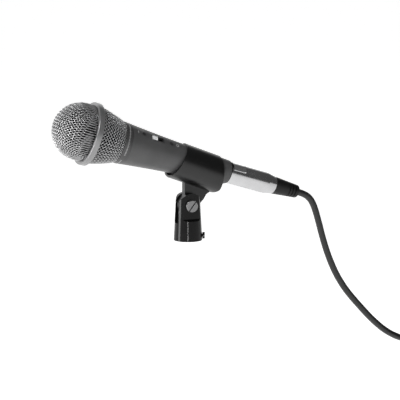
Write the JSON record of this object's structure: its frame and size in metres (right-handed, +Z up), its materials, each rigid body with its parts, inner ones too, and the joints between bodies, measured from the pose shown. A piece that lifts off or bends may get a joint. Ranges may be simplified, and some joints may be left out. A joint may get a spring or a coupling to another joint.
{
  "type": "microphone",
  "caption": "Hand-held dynamic vocal microphone with a ball grille, lying in a swivel stand clip on a threaded fork, with its locking connector, cable and far-end plug.",
  "frame": {"origin": "mouth of the stand adapter's threaded hole, at the bottom of the adapter, on its axis", "axes": "+Z up along the adapter's threaded hole; the microphone's axis lies in the XZ plane, grille towards -X and cable towards +X; the clip tilts about Y"},
  "size_m": [0.4753, 0.0766, 0.2421],
  "materials": {
    "fork_metal": "black-chrome plated die-cast metal, glossy",
    "insert_brass": "machined brass",
    "screw_steel": "bright plated steel",
    "clip_plastic": "satin black moulded plastic",
    "washer_fibre": "dark fibre washer",
    "handle_paint": "satin dark grey paint",
    "rubber_black": "black rubber",
    "insulator_black": "black moulded insulator",
    "pin_metal": "silver plated contact",
    "core_steel": "laminated steel core and winding",
    "lead_insulation": "coloured lead insulation",
    "capsule_metal": "turned aluminium",
    "magnet_metal": "plated magnet and yoke",
    "coil_wire": "enamelled copper wire",
    "diaphragm_film": "thin clear film",
    "slider_plastic": "light grey moulded slider",
    "grille_mesh": "woven steel mesh, satin grey",
    "band_metal": "satin grey band",
    "collar_metal": "dark grey threaded collar",
    "foam": "open-cell foam",
    "shell_nickel": "nickel plated shell",
    "cord_sheath": "black flexible sheath",
    "tie_fabric": "hook-and-loop strap"
  },
  "bodies": {
    "stand_adapter": {"adapter_fork": "fork_metal", "thread_insert": "insert_brass", "pivot_nut": "screw_steel"},
    "lock_screw": {"lock_screw": "screw_steel"},
    "pivot_screw": {"pivot_screw": "screw_steel"},
    "clip": {"clip_body": "clip_plastic", "clip_washers": "washer_fibre"},
    "microphone": {"handle_body": "handle_paint", "end_gasket": "rubber_black", "handle_insert": "insulator_black", "handle_pins": "pin_metal", "insert_screw": "screw_steel", "transformer": "core_steel", "leads": "lead_insulation", "shock_mount": "rubber_black", "capsule_housing": "capsule_metal", "capsule_magnet": "magnet_metal", "capsule_yoke": "magnet_metal", "voice_coil": "coil_wire", "diaphragm": "diaphragm_film", "capsule_grid": "capsule_metal", "switch_bezel": "insulator_black", "switch_plate": "screw_steel", "switch_housing": "insulator_black", "switch_screws": "screw_steel"},
    "grille": {"grille_ball": "grille_mesh", "grille_cone": "grille_mesh", "grille_band": "band_metal", "grille_collar": "collar_metal", "grille_foam": "foam"},
    "switch_slider": {"switch_slider": "slider_plastic"},
    "cable": {"connector_shell": "shell_nickel", "connector_insert": "insulator_black", "connector_contacts": "pin_metal", "connector_chuck": "insulator_black", "connector_boot": "rubber_black", "cord_entry": "cord_sheath", "cord_tube": "cord_sheath", "cord_hank": "cord_sheath", "cord_tail": "cord_sheath", "cord_tie": "tie_fabric", "plug_shell": "shell_nickel", "plug_insert": "insulator_black", "plug_pins": "pin_metal", "plug_chuck": "insulator_black", "plug_boot": "rubber_black", "plug_entry": "cord_sheath"},
    "latch": {"connector_latch": "screw_steel"}
  },
  "joints": [
    {"name": "clip_tilt", "type": "hinge", "parent": "stand_adapter", "child": "clip", "pos_m": [0, 0, 0.0305], "axis": [0, 1, 0], "range_deg": [-75, 60]},
    {"name": "pivot_screw_turn", "type": "hinge", "parent": "stand_adapter", "child": "pivot_screw", "pos_m": [0, 0, 0.0305], "axis": [0, -1, 0], "range_deg": [-90, 90]},
    {"name": "lock_screw_turn", "type": "hinge", "parent": "stand_adapter", "child": "lock_screw", "pos_m": [0, 0, 0.0039], "axis": [0.9135, -0.4067, 0], "range_deg": [-180, 180]},
    {"name": "mic_slide_out", "type": "slide", "parent": "clip", "child": "microphone", "axis": [-0.9553, 0, 0.2957], "range_m": [0, 0.07]},
    {"name": "grille_off", "type": "slide", "parent": "microphone", "child": "grille", "axis": [-0.9553, 0, 0.2957], "range_m": [0, 0.045]},
    {"name": "switch_slide", "type": "slide", "parent": "microphone", "child": "switch_slider", "axis": [0.9553, 0, -0.2957], "range_m": [0, 0.0056]},
    {"name": "connector_pull", "type": "slide", "parent": "microphone", "child": "cable", "axis": [0.9553, 0, -0.2957], "range_m": [0, 0.02]},
    {"name": "latch_press", "type": "slide", "parent": "cable", "child": "latch", "axis": [-0.1821, 0.788, -0.5881], "range_m": [0, 0.0008], "stiffness_N_per_m": 600}
  ]
}
